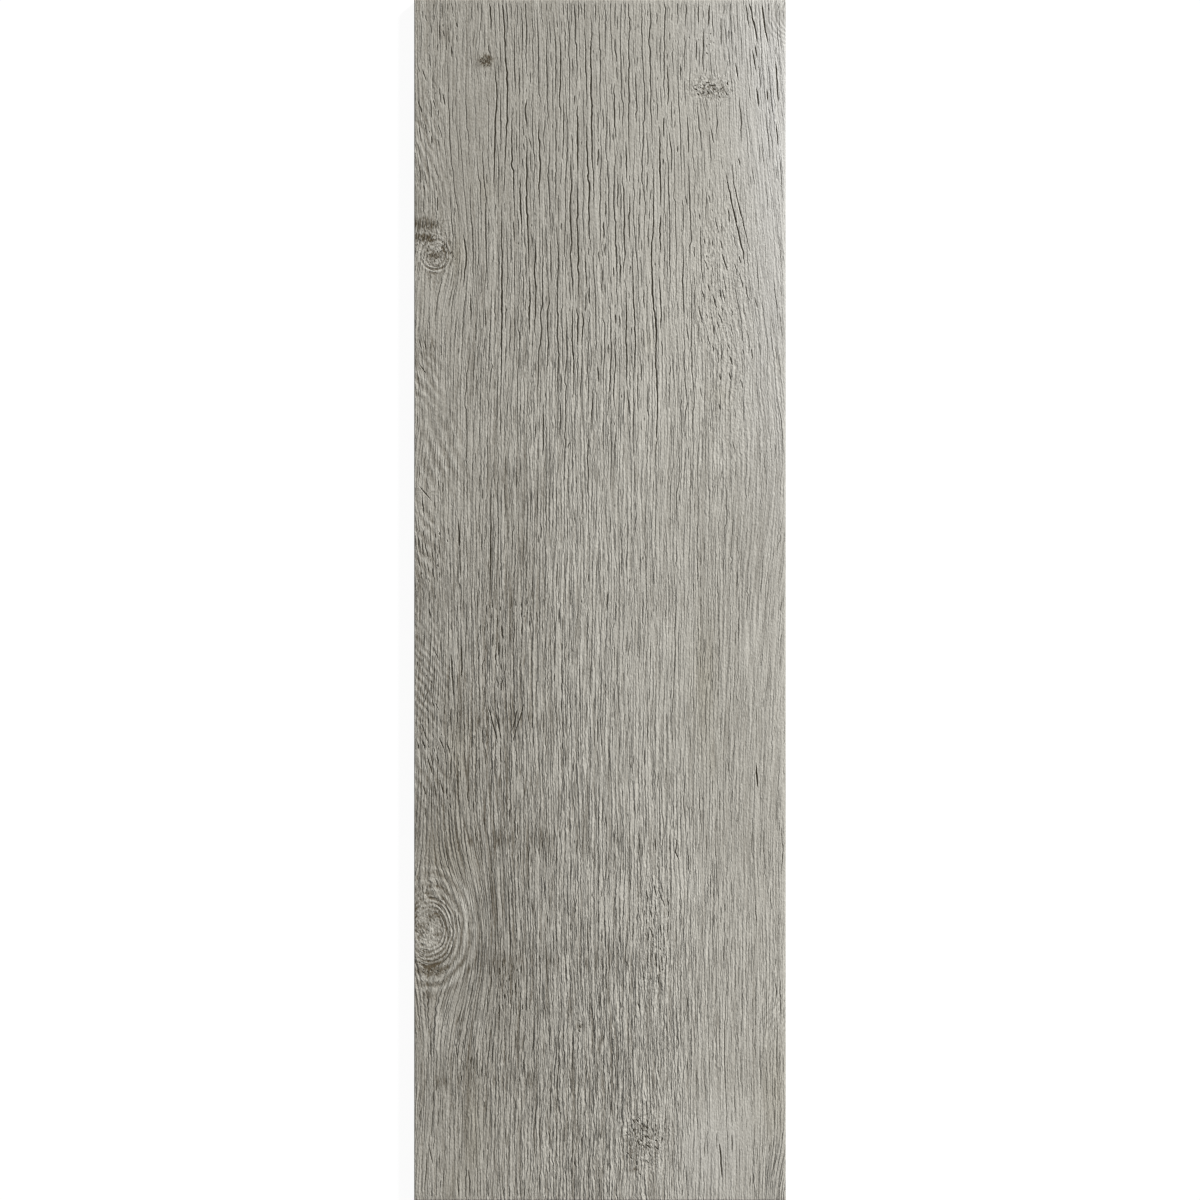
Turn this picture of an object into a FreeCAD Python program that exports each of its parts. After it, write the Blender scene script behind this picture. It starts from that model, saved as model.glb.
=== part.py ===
"""Wood look porcelain plank tile: one pressed and fired solid, lying on its back with the printed face up.

The origin is at the middle of the back, on the plane that the tile lies on. X runs across the
plank, Y along it and Z up through the face. Lengths are in millimetres and angles in degrees.
"""

import FreeCAD, Part
import os
import Sketcher
from math import pi

# Driving dimensions: alias, value, and what it measures.
SIZES = (
    ("face_width", 185, "printed face, across the plank"),
    ("face_length", 598, "printed face, along the plank"),
    ("thickness", 8, "back ribs to printed face"),
    ("arris_radius", 0.8, "rounding of the face's four edges"),
    ("edge_land", 3, "upright land of the sides, down from the face, which neighbouring tiles meet"),
    ("side_draft", 5, "lean of the sides below the land, in degrees, towards the smaller back"),
    ("back_bevel", 0.6, "height of the bevel round the back"),
    ("bevel_lean", 45, "lean of that bevel, in degrees"),
    ("key_depth", 0.5, "recess of each adhesive key cell in the back"),
    ("key_border", 6, "plain margin between the back bevel and the key cells"),
    ("key_rib", 5, "rib left between two key cells"),
    ("key_corner", 3, "corner radius of a key cell at its mouth"),
    ("key_wall_lean", 30, "lean of a key cell's walls, in degrees"),
    ("keys_across", 4, "key cells across the plank"),
    ("keys_along", 14, "key cells along the plank"),
)

# What the sizes give: below the land the sides draw in by the draft and then by the bevel, and the
# key cells share the flat of the back that is left inside the plain margin.
FOOT_TOP = "(sizes.thickness - sizes.edge_land)"
FOOT_HEIGHT = f"({FOOT_TOP} - sizes.back_bevel)"
FOOT_DRAW_IN = f"({FOOT_HEIGHT} * tan(sizes.side_draft * 1 deg))"
BEVEL_DRAW_IN = "(sizes.back_bevel * tan(sizes.bevel_lean * 1 deg))"
KEY_INSET = f"({FOOT_DRAW_IN} + {BEVEL_DRAW_IN} + sizes.key_border)"
KEY_FIELD_WIDTH = f"(sizes.face_width - 2 * {KEY_INSET})"
KEY_FIELD_LENGTH = f"(sizes.face_length - 2 * {KEY_INSET})"
KEY_PITCH_ACROSS = f"(({KEY_FIELD_WIDTH} + sizes.key_rib) / sizes.keys_across)"
KEY_PITCH_ALONG = f"(({KEY_FIELD_LENGTH} + sizes.key_rib) / sizes.keys_along)"

# A sketch starts as a square of this side, which its constraints then pull to size.
DRAFT_SIDE = 20.0
DRAFT_CORNER = 2.0
START, END = 1, 2

PLANE_TOLERANCE = 1e-4


def make_sheet(doc):
    """The spreadsheet that every size below is bound to."""
    sheet = doc.addObject("Spreadsheet::Sheet", "sizes")
    for row, (alias, value, meaning) in enumerate(SIZES, start=1):
        sheet.set(f"A{row}", alias)
        sheet.set(f"B{row}", str(value))
        sheet.setAlias(f"B{row}", alias)
        sheet.set(f"C{row}", meaning)
    doc.recompute()
    return sheet


def origin_part(body, role):
    """A plane or axis of the body's own origin, such as XY_Plane."""
    return next(part for part in body.Origin.OriginFeatures if part.Role == role)


def make_sketch(body, name):
    """An empty sketch on the plane that the tile lies on."""
    sketch = body.newObject("Sketcher::SketchObject", name)
    sketch.AttachmentSupport = [(origin_part(body, "XY_Plane"), "")]
    sketch.MapMode = "FlatFace"
    return sketch


def bind_distance(sketch, constraint, name, formula):
    """Adds a constraint whose value follows a formula on the spreadsheet."""
    index = sketch.addConstraint(constraint)
    sketch.renameConstraint(index, name)
    sketch.setExpression(f"Constraints.{name}", formula)


def draw_sides(sketch, inset):
    """Four straight sides of a rectangle, each end stopping short of its corner by the inset."""
    point = FreeCAD.Vector
    far = DRAFT_SIDE - inset
    sides = (
        Part.LineSegment(point(inset, 0), point(far, 0)),
        Part.LineSegment(point(DRAFT_SIDE, inset), point(DRAFT_SIDE, far)),
        Part.LineSegment(point(far, DRAFT_SIDE), point(inset, DRAFT_SIDE)),
        Part.LineSegment(point(0, far), point(0, inset)),
    )
    for side, direction in zip(sides, ("Horizontal", "Vertical", "Horizontal", "Vertical")):
        sketch.addConstraint(Sketcher.Constraint(direction, sketch.addGeometry(side, False)))


def draw_sharp_corners(sketch):
    """Joins the end of each side to the start of the next."""
    for side in range(4):
        sketch.addConstraint(Sketcher.Constraint("Coincident", side, END, (side + 1) % 4, START))


def draw_round_corners(sketch, inset, radius):
    """Joins the sides by four equal arcs whose radius is a formula on the spreadsheet."""
    far = DRAFT_SIDE - inset
    arcs = []
    for side, (x, y) in enumerate(((far, inset), (far, far), (inset, far), (inset, inset))):
        circle = Part.Circle(FreeCAD.Vector(x, y), FreeCAD.Vector(0, 0, 1), inset)
        turn = side * pi / 2
        arcs.append(sketch.addGeometry(Part.ArcOfCircle(circle, turn - pi / 2, turn), False))
    for side, arc in enumerate(arcs):
        sketch.addConstraint(Sketcher.Constraint("Tangent", side, END, arc, START))
        sketch.addConstraint(Sketcher.Constraint("Tangent", arc, END, (side + 1) % 4, START))
    for arc in arcs[1:]:
        sketch.addConstraint(Sketcher.Constraint("Equal", arcs[0], arc))
    bind_distance(sketch, Sketcher.Constraint("Radius", arcs[0], inset), "corner", radius)


def place_rectangle(sketch, half_across, half_along, width, length):
    """Sets the rectangle's size, and how far its lower left corner lies from the tile's middle."""
    bottom, right, top, left = range(4)
    axes, middle = -1, 1
    measures = (
        ("across", "DistanceX", left, right, width),
        ("along", "DistanceY", bottom, top, length),
    )
    for name, kind, first, second, formula in measures:
        constraint = Sketcher.Constraint(kind, first, START, second, START, DRAFT_SIDE)
        bind_distance(sketch, constraint, name, formula)
    places = (
        ("from_left", "DistanceX", left, half_across),
        ("from_bottom", "DistanceY", bottom, half_along),
    )
    for name, kind, side, formula in places:
        constraint = Sketcher.Constraint(kind, side, START, axes, middle, DRAFT_SIDE)
        bind_distance(sketch, constraint, name, formula)


def edges_at_height(shape, height):
    """Names of the outline edges that lie wholly at one height."""
    names = []
    for number, edge in enumerate(shape.Edges, start=1):
        box = edge.BoundBox
        if abs(box.ZMin - height) < PLANE_TOLERANCE and abs(box.ZMax - height) < PLANE_TOLERANCE:
            names.append(f"Edge{number}")
    return names


def press_band(doc, body, name, top, height, draw_in, lean):
    """One band of the pressed blank: its outline at its top lies inside the face's by draw_in, and
    below that its sides lean inwards."""
    outline = make_sketch(body, f"{name}_outline")
    outline.setExpression("AttachmentOffset.Base.z", top)
    width = f"(sizes.face_width - 2 * {draw_in})"
    length = f"(sizes.face_length - 2 * {draw_in})"
    draw_sides(outline, inset=0)
    draw_sharp_corners(outline)
    place_rectangle(outline, f"{width} / 2", f"{length} / 2", width, length)
    band = body.newObject("PartDesign::Pad", name)
    band.Profile = outline
    band.Reversed = True
    band.setExpression("Length", height)
    band.setExpression("TaperAngle", f"-{lean}")
    doc.recompute()
    return band


def press_blank(doc, body):
    """The pressed blank from the face down: the upright land, the drafted foot and the bevel that
    keeps the edge of the back from chipping."""
    press_band(doc, body, "land", "sizes.thickness", "sizes.edge_land", "0", "0")
    press_band(doc, body, "foot", FOOT_TOP, FOOT_HEIGHT, "0", "sizes.side_draft")
    return press_band(
        doc, body, "bevel", "sizes.back_bevel", "sizes.back_bevel", FOOT_DRAW_IN, "sizes.bevel_lean"
    )


def round_arris(doc, body, blank, face_height):
    """The soft arris that the die leaves round the printed face."""
    arris = body.newObject("PartDesign::Fillet", "arris")
    arris.Base = (blank, edges_at_height(blank.Shape, face_height))
    arris.setExpression("Radius", "sizes.arris_radius")
    doc.recompute()
    return arris


def press_keys(doc, body):
    """The waffle of shallow cells in the back that the adhesive keys into."""
    mouth = make_sketch(body, "key_mouth")
    draw_sides(mouth, DRAFT_CORNER)
    draw_round_corners(mouth, DRAFT_CORNER, "sizes.key_corner")
    place_rectangle(
        mouth, f"{KEY_FIELD_WIDTH} / 2", f"{KEY_FIELD_LENGTH} / 2",
        f"{KEY_PITCH_ACROSS} - sizes.key_rib", f"{KEY_PITCH_ALONG} - sizes.key_rib",
    )
    key = body.newObject("PartDesign::Pocket", "key_cell")
    key.Profile = mouth
    key.Reversed = True
    key.setExpression("Length", "sizes.key_depth")
    key.setExpression("TaperAngle", "-sizes.key_wall_lean")
    doc.recompute()

    waffle = body.newObject("PartDesign::LinearPattern", "key_waffle")
    waffle.Originals = [key]
    waffle.Direction = (origin_part(body, "X_Axis"), [""])
    waffle.Direction2 = (origin_part(body, "Y_Axis"), [""])
    waffle.Mode = waffle.Mode2 = "Extent"
    waffle.setExpression("Occurrences", "sizes.keys_across")
    waffle.setExpression("Occurrences2", "sizes.keys_along")
    waffle.setExpression("Length", f"{KEY_PITCH_ACROSS} * (sizes.keys_across - 1)")
    waffle.setExpression("Length2", f"{KEY_PITCH_ALONG} * (sizes.keys_along - 1)")
    body.Tip = waffle
    doc.recompute()
    return key, waffle


def make_tile(doc, sheet):
    """The whole tile as one body, with each step's volume compared with the one before."""
    body = doc.addObject("PartDesign::Body", "plank_tile")
    body.Label = "plank_tile"
    blank = press_blank(doc, body)
    arris = round_arris(doc, body, blank, sheet.get("thickness"))
    key, waffle = press_keys(doc, body)
    steps = (blank, arris, key, waffle)
    for before, after in zip(steps, steps[1:]):
        if after.Shape.Volume >= before.Shape.Volume:
            raise RuntimeError(f"{after.Label} took nothing off the tile")
    return body


def check_document(doc, bodies):
    """Stops the build if any object failed or a sub-part has no valid solid."""
    for thing in doc.Objects:
        if {"Invalid", "Error"} & set(thing.State):
            raise RuntimeError(f"{thing.Label} failed: {thing.State}")
    for body in bodies:
        if body.Shape.isNull() or not body.Shape.isValid() or len(body.Shape.Solids) != 1:
            raise RuntimeError(f"{body.Label} isn't one valid solid")


def main():
    doc = FreeCAD.newDocument("plank_tile")
    sheet = make_sheet(doc)
    bodies = [make_tile(doc, sheet)]
    doc.recompute()
    check_document(doc, bodies)
    os.makedirs("parts", exist_ok=True)
    for body in bodies:
        body.Shape.exportStep(os.path.join("parts", f"{body.Label}.step"))
        box = body.Shape.optimalBoundingBox()
        print(f"{body.Label}: {box.XLength:.2f} x {box.YLength:.2f} x {box.ZLength:.2f} mm, "
              f"{body.Shape.Volume / 1000:.1f} cm3, {len(body.Shape.Faces)} faces")


main()
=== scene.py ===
"""Wood look porcelain plank tile, lying on its back under soft studio light, seen from straight above."""

from collections import namedtuple
from math import pi, radians, tan

import bpy
import numpy as np
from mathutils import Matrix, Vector
from mathutils.geometry import delaunay_2d_cdt


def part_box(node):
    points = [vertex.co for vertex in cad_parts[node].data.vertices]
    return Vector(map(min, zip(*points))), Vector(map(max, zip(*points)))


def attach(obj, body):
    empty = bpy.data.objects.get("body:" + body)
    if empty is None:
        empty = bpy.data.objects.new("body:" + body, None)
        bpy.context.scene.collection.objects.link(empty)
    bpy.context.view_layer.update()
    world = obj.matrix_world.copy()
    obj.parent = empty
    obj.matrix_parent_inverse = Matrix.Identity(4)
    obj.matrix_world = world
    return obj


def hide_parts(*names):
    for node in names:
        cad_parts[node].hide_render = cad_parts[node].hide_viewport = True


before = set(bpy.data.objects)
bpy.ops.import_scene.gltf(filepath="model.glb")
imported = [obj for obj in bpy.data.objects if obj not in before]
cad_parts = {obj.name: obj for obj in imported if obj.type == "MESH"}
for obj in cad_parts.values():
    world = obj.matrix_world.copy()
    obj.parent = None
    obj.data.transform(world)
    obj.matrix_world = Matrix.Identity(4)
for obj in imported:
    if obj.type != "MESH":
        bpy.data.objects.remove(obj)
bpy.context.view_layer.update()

# The grain of the face. The upper die is cut from a weathered oak board, and relief and print share
# its figure: lines that run along the plank, lean a little and part round the knots.
# Places and sizes on the face are in millimetres from its middle, X across and Y along the plank.
MM = 0.001
_, tile_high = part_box("plank_tile")
half_width, half_length, face_height = (side / MM for side in tile_high)

Knot = namedtuple("Knot", "x y across along push")
PIN_KNOT = Knot(x=-56.9, y=268.5, across=3.2, along=3.1, push=2.6)
SCAR_KNOT = Knot(x=54.7, y=254.5, across=8.0, along=4.0, push=4.0)
RIM_KNOT = Knot(x=-82.2, y=172.0, across=7.5, along=7.8, push=8.0)
RING_KNOT = Knot(x=-85.0, y=-164.0, across=13.0, along=17.5, push=12.0)
KNOTS = (PIN_KNOT, SCAR_KNOT, RIM_KNOT, RING_KNOT)
KNOT_STRETCH = 2.0
Sway = namedtuple("Sway", "size along across start")
SWAYS = (
    Sway(size=0.9, along=71.0, across=83.0, start=0.0),
    Sway(size=0.3, along=19.0, across=27.0, start=1.3),
)
FITTING_STEPS = 14

# A patch is a soft oval on the face: its reach across and along, how much it adds at its middle and,
# above 1, how sharp its edge is.
Patch = namedtuple("Patch", "x y across along amount edge", defaults=(1,))
SWERVES = (
    Patch(x=-106, y=192, across=22, along=34, amount=16),
    Patch(x=-104, y=96, across=16, along=22, amount=9),
    Patch(x=-108, y=-10, across=24, along=46, amount=18),
    Patch(x=-104, y=-95, across=20, along=40, amount=9),
    Patch(x=88, y=318, across=30, along=90, amount=-11),
    Patch(x=70, y=130, across=18, along=22, amount=2),
    Patch(x=98, y=70, across=26, along=80, amount=9),
    Patch(x=98, y=-300, across=14, along=24, amount=-11),
    Patch(x=-102, y=-235, across=18, along=36, amount=8),
    Patch(x=-72, y=-168, across=18, along=34, amount=8),
)


def patch_sum(patches, x, y):
    """What all patches together add at points of the face."""
    total = np.zeros_like(x)
    for patch in patches:
        reach = ((x - patch.x) / patch.across) ** 2 + ((y - patch.y) / patch.along) ** 2
        total += patch.amount * np.exp(-(reach**patch.edge))
    return total


def grain_line(x, y):
    """The grain line through a point, named by where it would cross a plank with straight grain."""
    line = x
    for sway in SWAYS:
        line = line - sway.size * np.sin(y / sway.along + x / sway.across + sway.start)
    line = line - patch_sum(SWERVES, x, y)
    for knot in KNOTS:
        across = x - knot.x
        along = (y - knot.y) / KNOT_STRETCH
        line = line - across * knot.push**2 / (across**2 + along**2 + knot.push**2)
    return line


def cross_line(line, y):
    """Where grain lines cross the heights y, found by moving each point until its line fits."""
    x = np.array(line, dtype=float)
    for _ in range(FITTING_STEPS):
        x = x + line - grain_line(x, y)
    return x


# The open cracks. Brushing tore the soft wood out of the board, so each crack is a narrow V groove,
# tapered at both ends, with a steep wall on its right and a gentler one on its left. They are pressed
# into the face. Glaze pigment that settled in their bottoms leaves them dark, and painted shade
# darkens their right walls, which face away from the lamp; the ink strength of a groove sets both.
CELL = 0.25
CLEARANCE = 0.05
EDGE_GAP = 0.95
BLUNT_END, BLUNT_STRETCH = 1.9, (0.2, 0.8)
TAPER = 0.45
UNEVEN = (0.8, 1.15)
LEAST_POINTS, LEAST_SHARE = 3, 0.25
TRIES = 3
taken = np.zeros((int(2 * half_width / CELL) + 2, int(2 * half_length / CELL) + 2), dtype=bool)
strokes = []
rng = np.random.default_rng(2131)

Stroke = namedtuple("Stroke", "x y half_width depth ink")


def footprint(stroke):
    """Cells of the face that a groove takes up at each step along it, with the ground beside it."""
    steps = np.hypot(np.diff(stroke.x), np.diff(stroke.y))
    run = np.concatenate(([0.0], np.cumsum(steps)))
    at = np.arange(0.0, run[-1] + CELL, CELL)
    x = np.interp(at, run, stroke.x)
    y = np.interp(at, run, stroke.y)
    reach = np.interp(at, run, stroke.half_width) + CLEARANCE
    slope_x = np.gradient(x)
    slope_y = np.gradient(y)
    size = np.maximum(np.hypot(slope_x, slope_y), 1e-6)
    widest = int(np.ceil(reach.max() / CELL))
    side = np.arange(-widest, widest + 1)[:, None] * CELL
    side = np.clip(side, -reach - CELL / 2, reach + CELL / 2)
    columns = (x + side * slope_y / size + half_width) / CELL
    rows = (y - side * slope_x / size + half_length) / CELL
    columns = np.clip(columns.astype(int), 0, taken.shape[0] - 1)
    rows = np.clip(rows.astype(int), 0, taken.shape[1] - 1)
    return columns, rows, run, at


def longest_run(free):
    """Start and end of the longest stretch of True."""
    edges = np.flatnonzero(np.diff(np.concatenate(([0], free.astype(int), [0]))))
    if len(edges) == 0:
        return 0, 0
    longest = 2 * np.argmax(edges[1::2] - edges[::2])
    return edges[longest], edges[longest + 1]


def lay_stroke(x, y, half_width_there, depth, ink):
    """Keeps a groove, or its longest stretch on the face clear of others. It runs out blunt at an end."""
    inside = (np.abs(x) < half_width - EDGE_GAP - half_width_there) & (np.abs(y) < half_length - EDGE_GAP)
    least = max(LEAST_POINTS, int(LEAST_SHARE * len(x)))
    for _ in range(TRIES):
        start, end = longest_run(inside)
        x, y = x[start:end], y[start:end]
        if len(x) < least:
            return
        short_of_end = half_length - EDGE_GAP - np.abs(y[[0, -1]])
        runs_out = short_of_end < BLUNT_END
        y = y + np.where(runs_out, short_of_end * np.sign(y[[0, -1]]), 0.0).sum()
        along = np.linspace(*np.where(runs_out, BLUNT_STRETCH, (0.0, 1.0)), len(x))
        taper = np.sin(np.pi * along).clip(0.0) ** TAPER
        widths = half_width_there * taper * rng.uniform(*UNEVEN, len(x))
        widths[0] = widths[-1] = 0.0
        stroke = Stroke(x, y, widths, depth * widths / half_width_there, ink)
        columns, rows, run, at = footprint(stroke)
        blocked = taken[columns, rows].any(axis=0)
        if not blocked.any():
            taken[columns, rows] = True
            strokes.append(stroke)
            return
        inside = np.interp(run, at, blocked.astype(float)) == 0.0


def lay_between(points, half_width_there, depth, ink, station=3.0, wobble=0.12):
    """A groove through a few given places, listed from the top of the plank down."""
    corners = np.array(points[::-1], dtype=float)
    steps = np.linalg.norm(np.diff(corners, axis=0), axis=1)
    run = np.concatenate(([0.0], np.cumsum(steps)))
    count = max(3, int(round(run[-1] / station)) + 1)
    at = np.linspace(0.0, run[-1], count)
    x = np.interp(at, run, corners[:, 0]) + rng.normal(0.0, wobble, count)
    y = np.interp(at, run, corners[:, 1])
    lay_stroke(x, y, half_width_there, depth, ink)


def lay_rings(knot, rings, reach, sweep, half_width_there, depth, ink):
    """Broken rings round a knot, from its heart outwards, over a sweep of angles from the right."""
    first, last = np.radians(sweep)
    for share in np.linspace(*reach, rings):
        turn = first + rng.uniform(0.0, 0.6)
        while turn < last:
            arc = rng.uniform(0.35, 1.1)
            size = share * (1.0 + rng.normal(0.0, 0.03))
            count = max(3, int(arc * size * knot.along / 1.3))
            angle = np.linspace(turn, turn + arc, count)
            swell = size * (1.0 + 0.04 * np.sin(3.0 * angle + 5.0 * share))
            x = knot.x + swell * knot.across * np.cos(angle)
            y = knot.y + swell * knot.along * np.sin(angle)
            lay_stroke(x, y, half_width_there * rng.uniform(0.7, 1.1), depth, ink)
            turn += arc + rng.uniform(0.1, 0.5)


def lay_flecks(patch, lean, spread, lengths, half_width_there, depth, ink):
    """Short torn flecks, strewn over a patch whose amount is their number. Lean is from upright."""
    for _ in range(int(patch.amount)):
        middle_x = patch.x + patch.across * rng.normal(0.0, 0.5)
        middle_y = patch.y + patch.along * rng.normal(0.0, 0.5)
        angle = radians(rng.normal(lean, spread))
        half = rng.uniform(*lengths) / 2
        count = 3 + int(half)
        step = np.linspace(-half, half, count)
        x = middle_x - step * np.sin(angle) + rng.normal(0.0, 0.1, count)
        y = middle_y + step * np.cos(angle)
        lay_stroke(x, y, half_width_there * rng.uniform(0.7, 1.2), depth, ink)


def lay_comb(start, end, spacing, length, lean, half_width_there, depth, ink):
    """A row of ticks side by side from one place to another. Lean is from upright."""
    start, end = np.array(start), np.array(end)
    ticks = int(np.linalg.norm(end - start) / spacing)
    for share in (np.arange(ticks) + 0.5) / ticks:
        middle_x, middle_y = start + share * (end - start) + rng.normal(0.0, 0.15 * spacing, 2)
        angle = radians(rng.normal(lean, 8.0))
        step = np.linspace(-0.5, 0.5, 4) * length * rng.uniform(0.6, 1.2)
        x = middle_x - step * np.sin(angle) + rng.normal(0.0, 0.08, 4)
        y = middle_y + step * np.cos(angle)
        lay_stroke(x, y, half_width_there, depth, ink)


Brushing = namedtuple("Brushing", "spacing length gap half_width depth ink station wobble")


def lay_brushing(kind, zones, floor):
    """Dashes along every grain line. Zones, and a floor under them, say where they are strong."""
    dashes = []
    for start in np.arange(-half_width - 12.0, half_width + 12.0, kind.spacing):
        column = start + kind.spacing * rng.uniform(-0.2, 0.2)
        low = -half_length - kind.length * rng.uniform()
        while low < half_length:
            length = kind.length * rng.lognormal(0.0, 0.5)
            dashes.append((column + kind.spacing * rng.normal(0.0, 0.07), low, length))
            low += length + kind.gap * rng.exponential()
    dashes = rng.permutation(np.array(dashes))
    lines, lows, lengths = dashes.T
    middles = lows + lengths / 2
    strengths = floor + patch_sum(zones, cross_line(lines, middles), middles)
    wanted = rng.uniform(size=len(dashes)) < strengths
    dashes, strengths = dashes[wanted], strengths[wanted]
    wandering, heights = [], []
    for line, low, length in dashes:
        count = max(3, int(round(length / kind.station)) + 1)
        jogs = rng.normal(0.0, 1.4 * kind.wobble, count) * (rng.uniform(size=count) < 0.25)
        drift = np.cumsum(rng.normal(0.0, 0.6 * kind.wobble, count) + jogs)
        wandering.append(line + drift - np.linspace(drift[0], drift[-1], count))
        heights.append(np.linspace(low, low + length, count))
    places = cross_line(np.concatenate(wandering), np.concatenate(heights))
    ends = np.cumsum([len(y) for y in heights])
    for y, x, strength in zip(heights, np.split(places, ends[:-1]), strengths):
        weight = min(1.0, 0.6 + 0.4 * strength) * rng.uniform(0.7, 1.1)
        lay_stroke(x, y, kind.half_width * weight, kind.depth * weight, kind.ink * weight)


# The cracks that give the board its own face are placed one by one.
LONG_CRACKS = (
    ((-55.6, 298), (-54.6, 292), (-54.5, 282)),
    ((-52.8, 268.5), (-51.4, 253.1), (-52.3, 235.5), (-52.8, 212), (-52.9, 199.8)),
    ((-49.1, 298), (-47.8, 288.2), (-47.5, 273.6), (-46.3, 257.6), (-46.3, 241.7), (-48.1, 199.8)),
    ((-68.6, 184.4), (-66.6, 171.9), (-68.1, 154.5)),
    ((-49.1, 199), (-49, 150), (-49.4, 100)),
    ((-54.6, 57.3), (-54.4, 30), (-55, 0)),
    ((-70.6, 42), (-69.6, 10)),
    ((73.8, 298), (76.4, 287), (78.8, 275.6)),
    ((80.2, 298), (81.8, 286), (83.6, 274.7)),
    ((77.6, 257), (78.8, 244.2)),
    ((87.4, 269.4), (88, 258), (88.6, 246.5)),
    ((62, 214), (66, 195), (70.5, 175), (72.5, 164.5)),
    ((-69.1, -19.9), (-69, -39.9)),
    ((-74.5, -25), (-73, -49.8)),
    ((77.4, -79.7), (78.4, -94.7)),
    ((59, -269), (61, -289)),
)
for crack in LONG_CRACKS:
    lay_between(crack, half_width_there=0.62, depth=0.46, ink=1.0)

THIN_CRACKS = (
    ((72.1, 298), (74.5, 283.2)),
    ((76.6, 278), (78.3, 268.5)),
    ((75.7, 275.2), (77.8, 261.3)),
    ((82.9, 256), (83.6, 246.5)),
    ((87.4, 239.4), (88.6, 224.6)),
    ((67.1, 268.5), (68.8, 257.5)),
    ((69, 251.3), (70.2, 236.5), (70, 225.5)),
    ((54.5, 237), (56.9, 226)),
    ((54.2, 298), (53.8, 284)),
    ((48.7, 298), (48.7, 284.7)),
    ((47.8, 280.4), (47.8, 267)),
    ((51.5, 286), (51, 270), (51.2, 260.8)),
    ((60.2, 291.4), (60, 274.2)),
    ((83, 280.3), (87.4, 278.6), (92, 278.2)),
    ((65.5, 219), (66.5, 207), (70, 192), (75, 172)),
    ((-64.6, 154.5), (-64.3, 134.5)),
    ((-62, 139.5), (-61.8, 127)),
    ((-57, 147), (-57.4, 134.5)),
    ((-49.6, 97), (-49.6, 80)),
    ((-32, 90), (-32.2, 79)),
    ((-28.2, 99.7), (-28.6, 70)),
    ((-91, 57.8), (-87, 53), (-83, 48.3)),
    ((-90.5, 118), (-86, 111.5)),
    ((-56, -51), (-50.5, -73)),
    ((-52.5, -53), (-49, -71)),
    ((-37.5, -50), (-44, -72)),
    ((-41, -53), (-46, -75)),
    ((36.6, -117), (38.6, -121), (37, -125), (40, -131)),
    ((65.5, -264), (65.6, -276.6)),
)
for crack in THIN_CRACKS:
    lay_between(crack, half_width_there=0.48, depth=0.36, ink=1.0)

# Rows of ticks: where each starts and ends, its spacing, and the length and lean of its ticks.
COMBED = (
    ((-92, 187), (-80.5, 187.5), 0.95, 6, 3),
    ((-92, 179), (-82, 181), 1, 3.6, -40),
    ((-79, 178.5), (-72, 169.4), 0.95, 2.4, -35),
    ((-92, 128), (-77, 124), 1.7, 8, 4),
    ((-92, 20), (-80, 12), 1.5, 7, 8),
    ((-92, -30), (-83, -42), 1.3, 4, 25),
    ((-89.5, -145), (-84.5, -147), 1.9, 15, 0),
    ((-75, -163), (-69.5, -160), 1.8, 14, 2),
    ((-86, -275), (-79, -282), 2.6, 13, 14),
)
for start, end, spacing, length, lean in COMBED:
    lay_comb(start, end, spacing, length, lean, half_width_there=0.4, depth=0.25, ink=0.9)

lay_rings(
    RING_KNOT, rings=4, reach=(0.62, 1.0), sweep=(-140.0, 70.0), half_width_there=0.4, depth=0.22, ink=0.8
)
lay_rings(
    RIM_KNOT, rings=2, reach=(0.8, 1.0), sweep=(-200.0, 160.0), half_width_there=0.36, depth=0.2, ink=0.7
)

# Short flecks in the knots and scars, longer torn ones, and splinters: where, their lean and its spread.
FLECKED = (
    (Patch(x=-82.8, y=172, across=4.2, along=3.6, amount=60), -45, 25),
    (Patch(x=-56.9, y=268.5, across=2.2, along=2.2, amount=50), 45, 60),
    (Patch(x=53, y=277, across=5, along=6, amount=30), 30, 20),
    (Patch(x=-9.8, y=-212.3, across=1.5, along=2, amount=14), 35, 10),
    (Patch(x=-85.5, y=-183, across=8, along=3, amount=60), 75, 30),
)
for patch, lean, spread in FLECKED:
    lay_flecks(patch, lean, spread, lengths=(1.2, 3.2), half_width_there=0.42, depth=0.24, ink=1.0)

TORN = (
    (Patch(x=54.7, y=254, across=7.5, along=3, amount=70), 65, 35),
    (Patch(x=22.5, y=-268, across=7.5, along=12, amount=75), 28, 18),
)
for patch, lean, spread in TORN:
    lay_flecks(patch, lean, spread, lengths=(2.0, 4.6), half_width_there=0.48, depth=0.3, ink=1.0)

SPLINTERED = (
    (Patch(x=-52, y=-17, across=7, along=24, amount=34), 0, 3),
    (Patch(x=-37.5, y=-10, across=4, along=14, amount=14), 0, 3),
    (Patch(x=-45, y=-195, across=9, along=24, amount=30), 2, 4),
    (Patch(x=-86, y=25, across=10, along=34, amount=44), 4, 6),
    (Patch(x=-85, y=250, across=10, along=46, amount=36), 10, 8),
    (Patch(x=-84, y=-80, across=10, along=46, amount=40), 12, 8),
    (Patch(x=-65, y=-234, across=7, along=12, amount=16), 4, 5),
    (Patch(x=-77, y=283, across=7, along=10, amount=16), 5, 4),
    (Patch(x=61, y=150, across=14, along=60, amount=60), 13, 5),
    (Patch(x=27, y=-170, across=9, along=34, amount=36), 8, 6),
)
for patch, lean, spread in SPLINTERED:
    lay_flecks(patch, lean, spread, lengths=(4.0, 11.0), half_width_there=0.44, depth=0.3, ink=0.95)

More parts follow.
